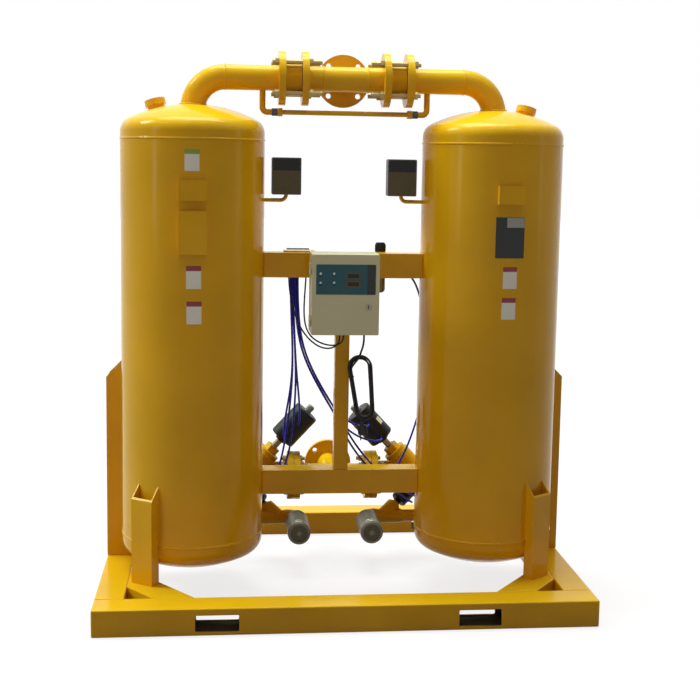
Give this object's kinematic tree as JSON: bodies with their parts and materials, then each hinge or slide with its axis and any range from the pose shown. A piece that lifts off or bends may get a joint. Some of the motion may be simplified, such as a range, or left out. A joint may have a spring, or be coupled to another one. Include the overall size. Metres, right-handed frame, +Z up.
{
  "type": "desiccant air dryer",
  "caption": "Twin-tower desiccant compressed-air dryer on a fork-lift skid, with flanged manifolds, angle-seat valves, silencers and a hinged control panel.",
  "frame": {"origin": "on the floor, under the middle of the skid", "axes": "+Z up, +X along the row of towers, +Y towards the back; the control panel faces -Y"},
  "size_m": [1.72, 1.23, 1.9586],
  "materials": {
    "yellow_enamel": "gloss",
    "steel": "satin",
    "bronze": "dull",
    "rubber": "matt",
    "black_plastic": "matt",
    "beige_enamel": "satin",
    "air_tube": "satin",
    "desiccant": "granular",
    "grey_plastic": "satin",
    "dark_window": "gloss",
    "overlay": "satin",
    "controller": "matt",
    "navy_plastic": "matt",
    "dark_metal": "satin",
    "bowl": "translucent",
    "silencer": "dull"
  },
  "bodies": {
    "frame": {"end_beams": "yellow_enamel", "side_beams": "yellow_enamel", "corner_braces": "yellow_enamel", "tower_posts": "yellow_enamel", "tower_left": "yellow_enamel", "tower_right": "yellow_enamel", "fill_plugs": "yellow_enamel", "desiccant_beds": "desiccant", "bed_screens": "steel", "outlet_spools": "yellow_enamel", "outlet_tee": "yellow_enamel", "check_valve_bodies": "yellow_enamel", "flange_bolts": "bronze", "flange_gaskets": "rubber", "purge_unions": "black_plastic", "purge_tube": "yellow_enamel", "gauge_arms": "yellow_enamel", "gauge_cases": "grey_plastic", "gauge_windows": "dark_window", "cross_beams": "yellow_enamel", "centre_post": "yellow_enamel", "panel_box": "beige_enamel", "cable_glands": "black_plastic", "valve_bracket": "yellow_enamel", "pilot_valves": "navy_plastic", "regulator_body": "dark_metal", "regulator_bowl": "bowl", "inlet_tee": "yellow_enamel", "inlet_spools": "yellow_enamel", "inlet_valve_bodies": "yellow_enamel", "exhaust_valve_bodies": "yellow_enamel", "valve_bonnets": "bronze", "actuator_housings": "black_plastic", "indicator_caps": "grey_plastic", "silencers": "silencer", "air_tube_1": "air_tube", "air_tube_2": "air_tube", "air_tube_3": "air_tube", "air_tube_4": "air_tube", "air_tube_5": "air_tube", "air_tube_6": "air_tube", "air_tube_7": "air_tube", "air_tube_8": "air_tube", "supply_tube": "air_tube", "valve_cable_1": "rubber", "valve_cable_2": "rubber", "power_cord": "rubber", "cord_hank": "rubber", "power_plug": "rubber"},
    "door": {"panel_door": "beige_enamel", "door_overlay": "overlay", "controller_unit": "controller"},
    "lock": {"panel_lock": "steel"},
    "knob": {"regulator_knob": "black_plastic"},
    "check_left": {"check_disc_left": "steel"},
    "check_right": {"check_disc_right": "steel"},
    "inlet_left": {"inlet_stem_left": "steel"},
    "inlet_right": {"inlet_stem_right": "steel"},
    "exhaust_left": {"exhaust_stem_left": "steel"},
    "exhaust_right": {"exhaust_stem_right": "steel"}
  },
  "joints": [
    {"name": "door_hinge", "type": "hinge", "parent": "frame", "child": "door", "pos_m": [-0.1295, -0.317, 1.112], "axis": [0, 0, -1], "range_deg": [0, 110]},
    {"name": "lock_turn", "type": "hinge", "parent": "door", "child": "lock", "pos_m": [0.074, -0.331, 1.07], "axis": [0, -1, 0], "range_deg": [0, 90]},
    {"name": "knob_turn", "type": "hinge", "parent": "frame", "child": "knob", "pos_m": [0.146, -0.053, 1.264], "axis": [0, 0, 1], "range_deg": [-360, 360]},
    {"name": "check_slide_left", "type": "slide", "parent": "frame", "child": "check_left", "axis": [1, 0, 0], "range_m": [0, 0.012]},
    {"name": "check_slide_right", "type": "slide", "parent": "frame", "child": "check_right", "axis": [-1, 0, 0], "range_m": [0, 0.012]},
    {"name": "inlet_stem_slide_left", "type": "slide", "parent": "frame", "child": "inlet_left", "axis": [0.682, 0, 0.7314], "range_m": [0, 0.02]},
    {"name": "inlet_stem_slide_right", "type": "slide", "parent": "frame", "child": "inlet_right", "axis": [-0.682, 0, 0.7314], "range_m": [0, 0.02]},
    {"name": "exhaust_stem_slide_left", "type": "slide", "parent": "frame", "child": "exhaust_left", "axis": [-0.7071, 0.4056, 0.5792], "range_m": [0, 0.012]},
    {"name": "exhaust_stem_slide_right", "type": "slide", "parent": "frame", "child": "exhaust_right", "axis": [0.7071, 0.4056, 0.5792], "range_m": [0, 0.012]}
  ]
}
